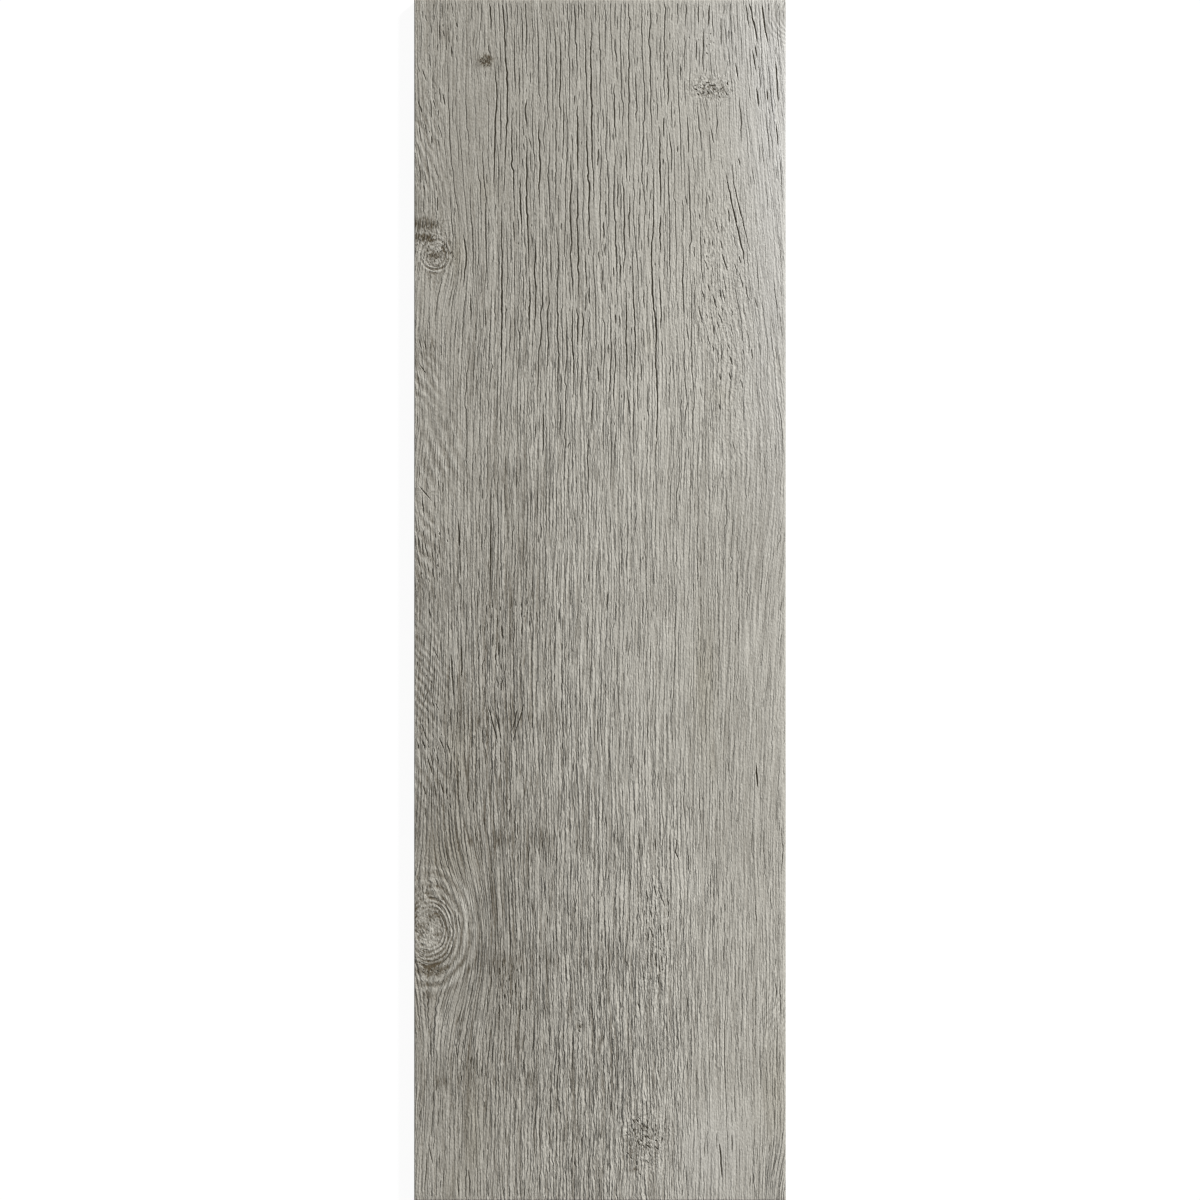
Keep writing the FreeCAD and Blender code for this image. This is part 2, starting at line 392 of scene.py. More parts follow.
# All other cracks are dealt along the grain lines. Zones make them more or fewer from place to place.
CRACK_ZONES = (
    Patch(x=0, y=202, across=62, along=118, amount=1.3),
    Patch(x=-48, y=-25, across=16, along=60, amount=0.45),
    Patch(x=-28, y=-160, across=34, along=110, amount=0.25),
    Patch(x=75, y=240, across=22, along=80, amount=0.1),
    Patch(x=62, y=200, across=17, along=55, amount=-0.6),
)
LEADING_CRACKS = Brushing(
    spacing=3.7, length=62.0, gap=4.0, half_width=0.6, depth=0.46, ink=1.0, station=1.8, wobble=0.2
)
lay_brushing(LEADING_CRACKS, CRACK_ZONES, floor=0.05)
WIDE_CRACKS = Brushing(
    spacing=1.9, length=26.0, gap=2.0, half_width=0.52, depth=0.4, ink=1.0, station=1.7, wobble=0.2
)
lay_brushing(WIDE_CRACKS, CRACK_ZONES, floor=0.08)

FINE_ZONES = (
    Patch(x=-5, y=230, across=60, along=130, amount=0.4),
    Patch(x=-40, y=-110, across=40, along=170, amount=0.35),
    Patch(x=80, y=40, across=26, along=200, amount=-0.3),
    Patch(x=-70, y=-166, across=12, along=34, amount=-0.8),
    Patch(x=-80, y=150, across=20, along=150, amount=-0.25),
    Patch(x=-72, y=228, across=20, along=34, amount=-0.25),
    Patch(x=64, y=-262, across=18, along=34, amount=-0.4),
    Patch(x=66, y=220, across=20, along=75, amount=-0.35),
    Patch(x=34, y=0, across=14, along=120, amount=-0.25),
)
FINE_CRACKS = Brushing(
    spacing=1.8, length=13.0, gap=3.0, half_width=0.42, depth=0.3, ink=0.8, station=2.0, wobble=0.2
)
lay_brushing(FINE_CRACKS, FINE_ZONES, floor=0.72)

# The skin of the face: lips and bottoms of the grooves and flat ground between them, out to where
# the arris begins, all joined by triangles that never cross the line of a groove.
ARRIS_RADIUS = 0.8
RIM_SPACING = 2.6
GROUND_ACROSS, GROUND_ALONG = 2.6, 6.0
GROUND_MARGIN, GROUND_JITTER = 1.6, 0.3
KNOT_SPACING, KNOT_REACH, KNOT_MARGIN = 0.8, 2.0, 3.0
BOTTOM_SKEW = 0.25
# Darkening across a groove, from its left lip through its bottom to its right lip: pigment at the bottom,
# and painted shade on the right wall, which faces away from the lamp.
PIGMENT_AND_SHADE_PROFILE = (0.0, 1.0, 0.8)


def rim_points(inset):
    """Points round the face, evenly spaced along each side, on a rectangle inside its edge."""
    corners = np.array(((-1.0, -1.0), (1.0, -1.0), (1.0, 1.0), (-1.0, 1.0)))
    corners = corners * (half_width - inset, half_length - inset)
    points = []
    for start, end in zip(corners, np.roll(corners, -1, axis=0)):
        whole = half_width if start[1] == end[1] else half_length
        count = int(2 * whole / RIM_SPACING)
        points.extend(start + (end - start) * step / count for step in range(count))
    return np.array(points)


plan = [rim_points(ARRIS_RADIUS)]
rim_count = len(plan[0])
columns = int(2 * half_width / GROUND_ACROSS)
rows = int(2 * half_length / GROUND_ALONG)
ground = np.stack(np.meshgrid(np.arange(columns), np.arange(rows)), axis=-1).reshape(-1, 2) + 0.5
ground = ground + rng.uniform(-GROUND_JITTER, GROUND_JITTER, ground.shape)
ground = ground * (2 * half_width / columns, 2 * half_length / rows) - (half_width, half_length)
for knot in KNOTS:
    span = KNOT_REACH * np.array((knot.across, knot.along)) + KNOT_MARGIN
    count = (2 * span / KNOT_SPACING).astype(int)
    near = np.stack(np.meshgrid(np.arange(count[0]), np.arange(count[1])), axis=-1).reshape(-1, 2) + 0.5
    near = (near + rng.uniform(-GROUND_JITTER, GROUND_JITTER, near.shape)) * (2 * span / count) - span
    near = near[np.linalg.norm(near / span, axis=1) < 1.0] + (knot.x, knot.y)
    ground = np.concatenate((ground, near))
limits = (half_width - GROUND_MARGIN, half_length - GROUND_MARGIN)
ground = ground[(np.abs(ground) < limits).all(axis=1)]
ground_cells = ((ground + (half_width, half_length)) / CELL).astype(int)
plan.append(ground[~taken[ground_cells[:, 0], ground_cells[:, 1]]])
depths = [np.zeros(len(points)) for points in plan]
pigments_and_shade = [np.zeros((len(points), 2)) for points in plan]
groove_edges = [(point, (point + 1) % rim_count) for point in range(rim_count)]
point_count = sum(len(points) for points in plan)
for stroke in strokes:
    slope = np.stack((np.gradient(stroke.x), np.gradient(stroke.y)), axis=1)
    slope /= np.linalg.norm(slope, axis=1)[:, None]
    side = np.stack((slope[:, 1], -slope[:, 0]), axis=1) * stroke.half_width[:, None]
    side *= -1.0 if side[:, 0].sum() < 0.0 else 1.0
    middle = np.stack((stroke.x, stroke.y), axis=1)
    tips = middle[[0, -1]]
    lines = np.stack((middle - side, middle + BOTTOM_SKEW * side, middle + side), axis=1)[1:-1]
    stations = len(lines)
    plan.append(np.concatenate((lines.reshape(-1, 2), tips)))
    depths.append(np.append(np.outer(stroke.depth[1:-1], (0.0, 1.0, 0.0)), (0.0, 0.0)))
    # Each groove point's share of pigment and painted shade, with the stroke's strength of both.
    pigment_and_shade_profile = np.append(np.tile(PIGMENT_AND_SHADE_PROFILE, stations), (0.0, 0.0))
    pigments_and_shade.append(np.stack((pigment_and_shade_profile, np.full(len(pigment_and_shade_profile), stroke.ink)), axis=1))
    first = point_count + np.arange(3)
    low_tip = point_count + 3 * stations
    for station in range(stations - 1):
        groove_edges.extend((start, start + 3) for start in (first + 3 * station).tolist())
    groove_edges.extend((low_tip, start) for start in first.tolist())
    groove_edges.extend((low_tip + 1, end) for end in (first + 3 * (stations - 1)).tolist())
    point_count = low_tip + 2

plan = np.concatenate(plan)
depths = np.concatenate(depths)
pigments_and_shade = np.concatenate(pigments_and_shade)
flat_points, _, triangles, sources, _, _ = delaunay_2d_cdt(
    [Vector(point) for point in plan.tolist()], groove_edges, [], 0, 1e-5, True
)
face_x, face_y = np.array([point[:] for point in flat_points]).T
triangles = np.array(triangles)
source = np.array([first[0] if first else -1 for first in sources])
groove_depth = np.where(source >= 0, depths[source], 0.0)
face_z = face_height - groove_depth
in_groove = (groove_depth[triangles] > 0.0).any(axis=1)
corner_pigment_and_shade = np.where((source >= 0)[:, None], pigments_and_shade[source], 0.0)[triangles]
corner_pigment_and_shade = corner_pigment_and_shade * in_groove[:, None, None]

# The edges of the pressed tile. The arris rounds the face over, below it an upright land meets the
# next tile, then the foot draws in by its draft, and a small bevel keeps the back from chipping.
ARRIS_TURNS = (15.0, 30.0, 45.0, 60.0, 75.0, 90.0)
LAND_FOOT, FOOT_DRAW_IN = 5.0, 0.385
BEVEL_TOP, BEVEL_DRAW_IN = 0.6, 0.6
turns = np.radians(ARRIS_TURNS)
arris_heights = face_height - ARRIS_RADIUS * (1.0 - np.cos(turns))
arris_insets = ARRIS_RADIUS * (1.0 - np.sin(turns))
edge_rings = list(zip(arris_heights, arris_insets))
edge_rings += [(LAND_FOOT, 0.0), (BEVEL_TOP, FOOT_DRAW_IN), (0.0, FOOT_DRAW_IN + BEVEL_DRAW_IN)]
vertices = [np.stack((face_x, face_y, face_z), axis=1)]
ring = np.array([np.flatnonzero(source == index)[0] for index in range(rim_count)])
faces = triangles.tolist()
made = len(face_x)
for height, inset in edge_rings:
    vertices.append(np.column_stack((rim_points(inset), np.full(rim_count, height))))
    lower = made + np.arange(rim_count)
    quads = np.stack((ring, lower, np.roll(lower, -1), np.roll(ring, -1)), axis=1)
    faces.extend(quads.tolist())
    ring = lower
    made += rim_count
vertices = np.concatenate(vertices)

tile_mesh = bpy.data.meshes.new("plank_tile_shell")
tile_mesh.from_pydata((vertices * MM).tolist(), [], faces)
tile = bpy.data.objects.new("printed_plank", tile_mesh)
bpy.context.scene.collection.objects.link(tile)


def give_attribute(mesh, name, kind, field, values, where="POINT"):
    """Stores a value for each vertex, or each face corner, for the finish to read."""
    layer = mesh.attributes.new(name, kind, where)
    layer.data.foreach_set(field, np.ascontiguousarray(values, dtype=np.float32).ravel())


# What the glaze printing laid over the relief: smoky stains, olive patches, the rings of the knots,
# and how strong the brush lines and the grit between them are from place to place. An amount below
# zero bleaches the print there.
STAINS = (
    Patch(x=-62, y=-130, across=48, along=140, amount=0.27),
    Patch(x=90, y=215, across=42, along=150, amount=-0.21),
    Patch(x=-46, y=-35, across=13, along=42, amount=0.06),
    Patch(x=-77, y=281.5, across=4.5, along=5, amount=0.25),
    Patch(x=22.5, y=-268, across=7, along=11, amount=0.14),
    Patch(x=54.7, y=253.5, across=8, along=3.2, amount=0.4),
    Patch(x=66, y=-256, across=16, along=16, amount=-0.1),
    Patch(x=-56.9, y=268.5, across=3.6, along=3.4, amount=0.65, edge=3),
    Patch(x=-61.5, y=268.5, across=3, along=3, amount=0.2),
    Patch(x=-88, y=187, across=7, along=3.2, amount=0.55, edge=2),
    Patch(x=-88, y=180.2, across=6.5, along=2, amount=0.6, edge=2),
    Patch(x=-76, y=173.5, across=2.6, along=5, amount=0.25),
    Patch(x=-83, y=171.5, across=3.2, along=1.9, amount=0.8, edge=2),
    Patch(x=-84.5, y=150, across=9, along=10, amount=-0.12),
    Patch(x=-86, y=127, across=8, along=7, amount=0.1),
    Patch(x=-85.5, y=-166.5, across=5, along=8, amount=-0.45),
    Patch(x=-83, y=-152, across=6, along=4, amount=0.35),
    Patch(x=-85.5, y=-183, across=8, along=2.4, amount=0.5),
    Patch(x=-67, y=-152, across=4, along=16, amount=-0.25),
    Patch(x=-45, y=-195, across=12, along=34, amount=0.05),
    Patch(x=-65, y=-234, across=5, along=9, amount=0.06),
    Patch(x=-44, y=-222, across=5, along=6, amount=0.06),
    Patch(x=-82, y=-215, across=7, along=14, amount=-0.3),
    Patch(x=90, y=290, across=5, along=7, amount=0.45),
    Patch(x=-9.8, y=-212.3, across=1.6, along=1.8, amount=0.8, edge=2),
    Patch(x=18.1, y=-283, across=1.2, along=1.2, amount=0.9, edge=2),
    Patch(x=-35, y=25, across=13, along=28, amount=0.1),
    Patch(x=46, y=-143, across=7, along=9, amount=-0.3),
    Patch(x=18, y=30, across=34, along=260, amount=-0.14),
    Patch(x=76, y=-30, across=22, along=150, amount=0.15),
    Patch(x=-82, y=-160, across=12, along=40, amount=0.12),
    Patch(x=-70, y=-50, across=24, along=70, amount=-0.1),
    Patch(x=-10, y=260, across=80, along=110, amount=0.14),
    Patch(x=57, y=-55, across=13, along=110, amount=0.13),
    Patch(x=82, y=52, across=14, along=40, amount=0.1),
    Patch(x=84, y=-250, across=14, along=42, amount=0.12),
    Patch(x=-80, y=226, across=12, along=26, amount=-0.12),
    Patch(x=-34, y=-172, across=13, along=34, amount=-0.14),
    Patch(x=-11, y=25, across=13, along=32, amount=-0.1),
    Patch(x=-14, y=-76, across=34, along=50, amount=-0.08),
    Patch(x=85, y=285, across=14, along=16, amount=-0.1),
    Patch(x=66, y=-245, across=24, along=60, amount=0.11),
    Patch(x=-84, y=-195, across=10, along=44, amount=0.12),
    Patch(x=81, y=25, across=14, along=30, amount=0.09),
    Patch(x=80, y=-125, across=14, along=40, amount=0.09),
    Patch(x=-76, y=228, across=22, along=42, amount=0.14),
    Patch(x=-82, y=110, across=12, along=50, amount=0.11),
    Patch(x=24, y=-25, across=26, along=90, amount=0.11),
    Patch(x=-60, y=-274, across=22, along=28, amount=0.09),
    Patch(x=-60, y=50, across=20, along=60, amount=0.06),
    Patch(x=70, y=215, across=20, along=60, amount=0.1),
    Patch(x=35, y=32, across=30, along=28, amount=0.08),
    Patch(x=57, y=225, across=12, along=30, amount=0.07),
    Patch(x=84, y=125, across=18, along=75, amount=0.12),
    Patch(x=84, y=278, across=18, along=40, amount=0.06),
    Patch(x=58, y=-278, across=20, along=26, amount=0.13),
)
OLIVES = (
    Patch(x=-57, y=204, across=5, along=6, amount=0.5),
    Patch(x=-56.9, y=268.5, across=3.4, along=3.4, amount=0.9, edge=3),
    Patch(x=-71, y=172, across=4, along=10, amount=0.7),
    Patch(x=25, y=129, across=3.5, along=6, amount=0.5),
    Patch(x=60, y=102, across=5, along=5, amount=0.5),
    Patch(x=89, y=117, across=3, along=5, amount=0.5),
    Patch(x=51.8, y=-40, across=4.5, along=28, amount=0.9),
    Patch(x=56, y=-78, across=4, along=10, amount=0.4),
    Patch(x=-71, y=-78, across=4.5, along=22, amount=0.7),
    Patch(x=-75, y=-127, across=11, along=14, amount=0.7),
    Patch(x=-63, y=-263, across=4, along=22, amount=0.8),
    Patch(x=-71.5, y=-289, across=4, along=8, amount=0.6),
    Patch(x=87, y=-245, across=6, along=22, amount=0.6),
    Patch(x=90, y=262, across=22, along=60, amount=-1),
    Patch(x=90, y=150, across=22, along=110, amount=-0.9),
    Patch(x=58, y=282, across=18, along=22, amount=-0.5),
    Patch(x=56, y=-275, across=18, along=24, amount=-0.5),
)
BRUSHED = (
    Patch(x=-5, y=-60, across=52, along=420, amount=0.32),
    Patch(x=10, y=-215, across=34, along=75, amount=0.3),
    Patch(x=-60, y=-60, across=30, along=160, amount=0.2),
    Patch(x=0, y=235, across=75, along=130, amount=-0.45),
    Patch(x=-70, y=-165, across=10, along=36, amount=-0.5),
    Patch(x=88, y=-288, across=10, along=18, amount=0.5),
    Patch(x=64, y=-262, across=18, along=32, amount=-0.25),
    Patch(x=-88, y=222, across=11, along=34, amount=0.25),
    Patch(x=88, y=-60, across=32, along=280, amount=-0.14),
    Patch(x=-66, y=-190, across=24, along=100, amount=0.2),
    Patch(x=20, y=-30, across=36, along=135, amount=-0.2),
    Patch(x=-25, y=45, across=30, along=45, amount=-0.1),
    Patch(x=-74, y=225, across=24, along=42, amount=-0.25),
    Patch(x=-82, y=70, across=14, along=70, amount=-0.18),
    Patch(x=-64, y=-274, across=24, along=28, amount=-0.3),
    Patch(x=-58, y=50, across=18, along=60, amount=-0.12),
    Patch(x=56, y=-275, across=24, along=30, amount=-0.14),
    Patch(x=68, y=230, across=26, along=70, amount=-0.08),
)
TICKED = (
    Patch(x=-88, y=187, across=7, along=3.2, amount=1.2, edge=2),
    Patch(x=-88, y=180.2, across=6.5, along=2, amount=1.2, edge=2),
    Patch(x=-76.5, y=173.5, across=3, along=5, amount=0.7),
    Patch(x=-86, y=127, across=8, along=7, amount=0.35),
    Patch(x=-86, y=15, across=8, along=18, amount=0.5),
    Patch(x=-46, y=-35, across=12, along=40, amount=0.15),
    Patch(x=-45, y=-64, across=8, along=10, amount=0.25),
    Patch(x=-45, y=-195, across=12, along=34, amount=0.2),
    Patch(x=-65, y=-234, across=6, along=10, amount=0.25),
    Patch(x=22.5, y=-268, across=8, along=12, amount=0.4),
)
FELTED = (
    Patch(x=-5, y=-285, across=58, along=95, amount=1),
    Patch(x=-88, y=10, across=12, along=110, amount=0.5),
    Patch(x=62, y=130, across=18, along=70, amount=0.8),
)
GRITTY = (
    Patch(x=-56.9, y=268.5, across=3.3, along=3.2, amount=1.3, edge=3),
    Patch(x=54.7, y=254.5, across=9, along=5, amount=1.6),
    Patch(x=-83, y=175, across=9, along=12, amount=0.9),
    Patch(x=-86, y=-165, across=11, along=24, amount=0.6),
    Patch(x=22.5, y=-268, across=9, along=13, amount=1.2),
    Patch(x=27, y=-170, across=8, along=34, amount=0.5),
    Patch(x=62, y=140, across=14, along=60, amount=0.3),
)
SWIRL = Knot(x=99.0, y=291.0, across=15.0, along=13.0, push=0.0)
RINGS_END, FAINTEST = 2.5, 0.02
Rings = namedtuple("Rings", "knot lean reach turns strength")
RINGS = (
    Rings(
        knot=RING_KNOT, lean=-25.0, reach=(0.0, 0.38, 0.5, 1.0, 1.12, 1.3, 1.8, 2.1),
        turns=(0.0, 0.6, 1.2, 5.0, 5.7, 6.4, 7.9, 8.6),
        strength=(0.0, 0.1, 0.43, 0.64, 0.36, 0.45, 0.38, 0.0),
    ),
    Rings(
        knot=RIM_KNOT, lean=-60.0, reach=(0.0, 0.5, 0.75, 1.0, 1.15, 1.4),
        turns=(0.0, 0.8, 1.4, 2.4, 3.0, 3.6), strength=(0.0, 0.2, 0.45, 0.75, 0.45, 0.0),
    ),
    Rings(
        knot=SWIRL, lean=210.0, reach=(0.0, 0.45, 0.6, 1.0, 1.2, 1.5),
        turns=(0.0, 2.0, 3.0, 6.0, 7.2, 9.0), strength=(0.0, 0.16, 0.27, 0.3, 0.16, 0.0),
    ),
)
Ripples = namedtuple("Ripples", "patch lean spacing")
RIPPLES = (
    Ripples(Patch(x=-87, y=224, across=10, along=26, amount=0.34), lean=26, spacing=3.2),
    Ripples(Patch(x=-88, y=108, across=10, along=16, amount=0.36), lean=40, spacing=4.4),
    Ripples(Patch(x=-80, y=72, across=14, along=20, amount=0.32), lean=26, spacing=5.5),
    Ripples(Patch(x=-88, y=28, across=11, along=22, amount=0.36), lean=40, spacing=4.8),
    Ripples(Patch(x=-88, y=-40, across=11, along=32, amount=0.4), lean=38, spacing=3),
    Ripples(Patch(x=-86, y=-88, across=12, along=16, amount=0.36), lean=32, spacing=4.5),
    Ripples(Patch(x=59, y=183, across=12, along=18, amount=0.2), lean=20, spacing=1.8),
    Ripples(Patch(x=87, y=-206, across=9, along=16, amount=0.25), lean=-38, spacing=2.4),
    Ripples(Patch(x=62, y=130, across=15, along=26, amount=0.18), lean=16, spacing=2.4),
)


def knot_rings(x, y):
    """How many rings out from a knot's heart, or ripples along, a point lies, and how much they show."""
    turns, strength = np.zeros_like(x), np.zeros_like(x)
    for rings in RINGS:
        across = (x - rings.knot.x) / rings.knot.across
        along = (y - rings.knot.y) / rings.knot.along
        out = np.hypot(across, along)
        facing = 0.65 + 0.35 * np.cos(np.arctan2(along, across) - radians(rings.lean))
        turns = np.where(out < RINGS_END, np.interp(out, rings.reach, rings.turns), turns)
        strength += facing * np.interp(out, rings.reach, rings.strength)
    for ripples in RIPPLES:
        shown = patch_sum((ripples.patch,), x, y)
        lean = radians(ripples.lean)
        count = (x * np.cos(lean) + y * np.sin(lean)) / ripples.spacing
        turns = np.where(shown > np.maximum(strength, FAINTEST), count, turns)
        strength = np.maximum(strength, shown)
    return np.stack((turns, strength, np.zeros_like(x)), axis=1)


x, y, _ = vertices.T
zeros = np.zeros(len(x))
corners = sum(len(face) for face in faces)
pigment = np.zeros((corners, 3))
pigment[: corner_pigment_and_shade.size // 2, :2] = corner_pigment_and_shade.reshape(-1, 2)
give_attribute(tile_mesh, "grain", "FLOAT_VECTOR", "vector", np.stack((grain_line(x, y), y, zeros), axis=1))
give_attribute(tile_mesh, "pigment", "FLOAT_VECTOR", "vector", pigment, where="CORNER")
print_layers = (
    ("stain", 0.0, STAINS),
    ("olive", 0.0, OLIVES),
    ("brushed", 0.45, BRUSHED),
    ("ticked", 0.0, TICKED),
    ("felted", 0.15, FELTED),
    ("gritty", 0.3, GRITTY),
)
for name, everywhere, patches in print_layers:
    give_attribute(tile_mesh, name, "FLOAT", "value", everywhere + patch_sum(patches, x, y))
give_attribute(tile_mesh, "rings", "FLOAT_VECTOR", "vector", knot_rings(x, y))


# The bare porcelain of the sides and back: pressed grey beige clay, fired hard and left unglazed,
# with fine dark specks and the pale dust of the kiln rollers on whatever stands proud.
class Wire:
    """A value in a node tree. Arithmetic on it adds Math nodes, and node() adds any other node."""

    def __init__(self, tree, socket=None):
        self.tree = tree
        self.socket = socket

    def node(self, kind, inputs=None, output=0, **settings):
        """Adds a node: its settings first, then a value or a link for each socket named."""
        made = self.tree.nodes.new(kind)
        for name, value in settings.items():
            setattr(made, name, value)
        for name, value in (inputs or {}).items():
            for item in value if isinstance(value, list) else [value]:
                if isinstance(item, Wire):
                    self.tree.links.new(item.socket, made.inputs[name])
                else:
                    made.inputs[name].default_value = item
        return Wire(self.tree, made.outputs[output] if made.outputs else None)

    def output(self, name):
        """Another output of the same node."""
        return Wire(self.tree, self.socket.node.outputs[name])

    def math(self, operation, *values):
        return self.node("ShaderNodeMath", dict(enumerate(values)), operation=operation)

    def __add__(self, other):
        return self.math("ADD", self, other)

    def __sub__(self, other):
        return self.math("SUBTRACT", self, other)

    def __rsub__(self, other):
        return self.math("SUBTRACT", other, self)

    def __mul__(self, other):
        return self.math("MULTIPLY", self, other)

    __radd__ = __add__
    __rmul__ = __mul__

    def ramp(self, low, high):
        """Rises smoothly from 0 at low to 1 at high."""
        limits = {"Value": self, "From Min": low, "From Max": high}
        return self.node("ShaderNodeMapRange", limits, interpolation_type="SMOOTHSTEP")

    def mix(self, first, second, **settings):
        """One colour where this value is 0, the other, or what that makes of it, where it is 1."""
        colours = {0: self, 6: first, 7: second}
        return self.node("ShaderNodeMix", colours, output=2, data_type="RGBA", **settings)

    def noise(self, sizes, detail=2.0):
        """Cloudy noise over this vector, whose lumps have the given sizes."""
        scale = tuple(1.0 / size for size in sizes)
        place = self.node("ShaderNodeVectorMath", {0: self, 1: scale}, operation="MULTIPLY")
        return self.node("ShaderNodeTexNoise", {"Vector": place, "Scale": 1.0, "Detail": detail})


def start_finish(name):
    """A material with an empty tree, its first wire and its place on the tile in millimetres."""
    finish = bpy.data.materials.new(name)
    finish.use_nodes = True
    finish.node_tree.nodes.clear()
    paint = Wire(finish.node_tree)
    spot = paint.node("ShaderNodeTexCoord", output="Object")
    scale = {0: spot, 1: (1 / MM, 1 / MM, 1 / MM)}
    return finish, paint, paint.node("ShaderNodeVectorMath", scale, operation="MULTIPLY")


def end_finish(paint, colour, roughness, height, relief):
    """One shader with its colour, its roughness and a bump of the given relief in metres."""
    bump = paint.node("ShaderNodeBump", {"Strength": 1.0, "Distance": relief, "Height": height})
    sockets = {"Base Color": colour, "Roughness": roughness, "Normal": bump}
    shader = paint.node("ShaderNodeBsdfPrincipled", sockets)
    paint.node("ShaderNodeOutputMaterial", {"Surface": shader})


CLAY = (0.47, 0.43, 0.37, 1.0)
CLAY_DARK = (0.38, 0.345, 0.295, 1.0)
CLAY_SPECK = (0.2, 0.18, 0.155, 1.0)
KILN_DUST = (0.7, 0.68, 0.64, 1.0)
SPECK_SHARE, DUST_SHARE = 0.6, 0.75
CLAY_RELIEF = 0.00006

biscuit, paint, spot = start_finish("bare_porcelain")
clouds = spot.noise((30.0, 30.0, 30.0), detail=3.0)
specks = spot.noise((0.7, 0.7, 0.7), detail=1.0).ramp(0.66, 0.72)
pores = spot.noise((0.35, 0.35, 0.35), detail=2.0)
level = spot.node("ShaderNodeSeparateXYZ", {0: spot}, output="Z")
proud = 1.0 - level.ramp(0.1, 0.4)
dust = spot.noise((9.0, 22.0, 9.0), detail=4.0).ramp(0.48, 0.68) * proud
colour = clouds.ramp(0.3, 0.7).mix(CLAY, CLAY_DARK)
colour = (specks * SPECK_SHARE).mix(colour, CLAY_SPECK)
colour = (dust * DUST_SHARE).mix(colour, KILN_DUST)
end_finish(paint, colour, 0.75 + 0.15 * clouds, pores, CLAY_RELIEF)

# The keyed back. The lower die presses shallow cells into the back, so that tile adhesive keys into
# it: one rounded cell is drawn once and set out in rows, and the ribs between the cells fill the
# rest of the back out to the bevel.
CELLS_ACROSS, CELLS_ALONG = 4, 14
KEY_BORDER, KEY_RIB, KEY_CORNER = 6.0, 5.0, 3.0
KEY_DEPTH, KEY_WALL_LEAN = 0.5, 30.0
key_inset = FOOT_DRAW_IN + BEVEL_DRAW_IN + KEY_BORDER
key_sizes = (
    ("Cells Across", "Int", CELLS_ACROSS),
    ("Cells Along", "Int", CELLS_ALONG),
    ("Pitch Across", "Float", (2 * (half_width - key_inset) + KEY_RIB) / CELLS_ACROSS * MM),
    ("Pitch Along", "Float", (2 * (half_length - key_inset) + KEY_RIB) / CELLS_ALONG * MM),
    ("Rib", "Float", KEY_RIB * MM),
    ("Corner Radius", "Float", KEY_CORNER * MM),
    ("Depth", "Float", KEY_DEPTH * MM),
    ("Draw In", "Float", KEY_DEPTH * tan(radians(KEY_WALL_LEAN)) * MM),
    ("Glaze Edge", "Float", (face_height - ARRIS_RADIUS) * MM),
)
back = bpy.data.node_groups.new("keyed_back", "GeometryNodeTree")
back.interface.new_socket("Tile", in_out="INPUT", socket_type="NodeSocketGeometry")
key_inputs = {}
for name, kind, value in key_sizes:
    socket = back.interface.new_socket(name, in_out="INPUT", socket_type=f"NodeSocket{kind}")
    key_inputs[socket.identifier] = value
back.interface.new_socket("Tile", in_out="OUTPUT", socket_type="NodeSocketGeometry")

given = Wire(back).node("NodeGroupInput")
shell = given.output("Tile")
across, along = given.output("Cells Across"), given.output("Cells Along")
pitch_across, pitch_along = given.output("Pitch Across"), given.output("Pitch Along")
rib, depth, draw_in = given.output("Rib"), given.output("Depth"), given.output("Draw In")
mouth = given.node(
    "GeometryNodeCurvePrimitiveQuadrilateral",
    {"Width": pitch_across - rib, "Height": pitch_along - rib}, mode="RECTANGLE",
)
mouth = given.node(
    "GeometryNodeFilletCurve",
    {"Curve": mouth, "Count": 5, "Radius": given.output("Corner Radius")}, mode="POLY",
)
middles = given.node(
    "GeometryNodeMeshGrid",
    {
        "Size X": pitch_across * (across - 1), "Size Y": pitch_along * (along - 1),
        "Vertices X": across, "Vertices Y": along,
    },
)


def set_out(shape):
    """One copy of a shape at the middle of every cell."""
    copies = given.node("GeometryNodeInstanceOnPoints", {"Points": middles, "Instance": shape})
    return given.node("GeometryNodeRealizeInstances", {"Geometry": copies})


def join(*shapes):
    return given.node("GeometryNodeJoinGeometry", {"Geometry": list(shapes)})


sharing = given.node("GeometryNodeInputMeshEdgeNeighbors")
open_edge = given.node("FunctionNodeCompare", {2: sharing, 3: 1}, data_type="INT", operation="EQUAL")
bevel_foot = given.node("GeometryNodeMeshToCurve", {"Mesh": shell, "Selection": open_edge})
ribs = given.node("GeometryNodeFillCurve", {"Curve": join(set_out(mouth), bevel_foot)}, mode="TRIANGLES")
cap = given.node("GeometryNodeFillCurve", {"Curve": mouth}, mode="NGONS")
cell = given.node(
    "GeometryNodeExtrudeMesh",
    {"Mesh": cap, "Offset": (0.0, 0.0, 1.0), "Offset Scale": depth, "Individual": False}, mode="FACES",
)
place = given.node("GeometryNodeInputPosition")
sides = given.node("ShaderNodeVectorMath", {0: place}, operation="SIGN")
inward = given.node("ShaderNodeVectorMath", {0: sides, 1: (-1.0, -1.0, 0.0)}, operation="MULTIPLY")
inward = given.node("ShaderNodeVectorMath", {0: inward, "Scale": draw_in}, operation="SCALE")
cell = given.node(
    "GeometryNodeSetPosition", {"Geometry": cell, "Selection": cell.output("Top"), "Offset": inward}
)
underside = given.node("GeometryNodeFlipFaces", {"Mesh": join(ribs, set_out(cell))})
level = given.node("ShaderNodeSeparateXYZ", {0: place}, output="Z")
at_foot = given.node("FunctionNodeCompare", {0: level, 1: 0.5 * depth}, operation="LESS_THAN")
whole = given.node(
    "GeometryNodeMergeByDistance",
    {"Geometry": join(shell, underside), "Selection": at_foot, "Distance": 0.01 * MM},
)
whole = given.node("GeometryNodeRealizeInstances", {"Geometry": whole})
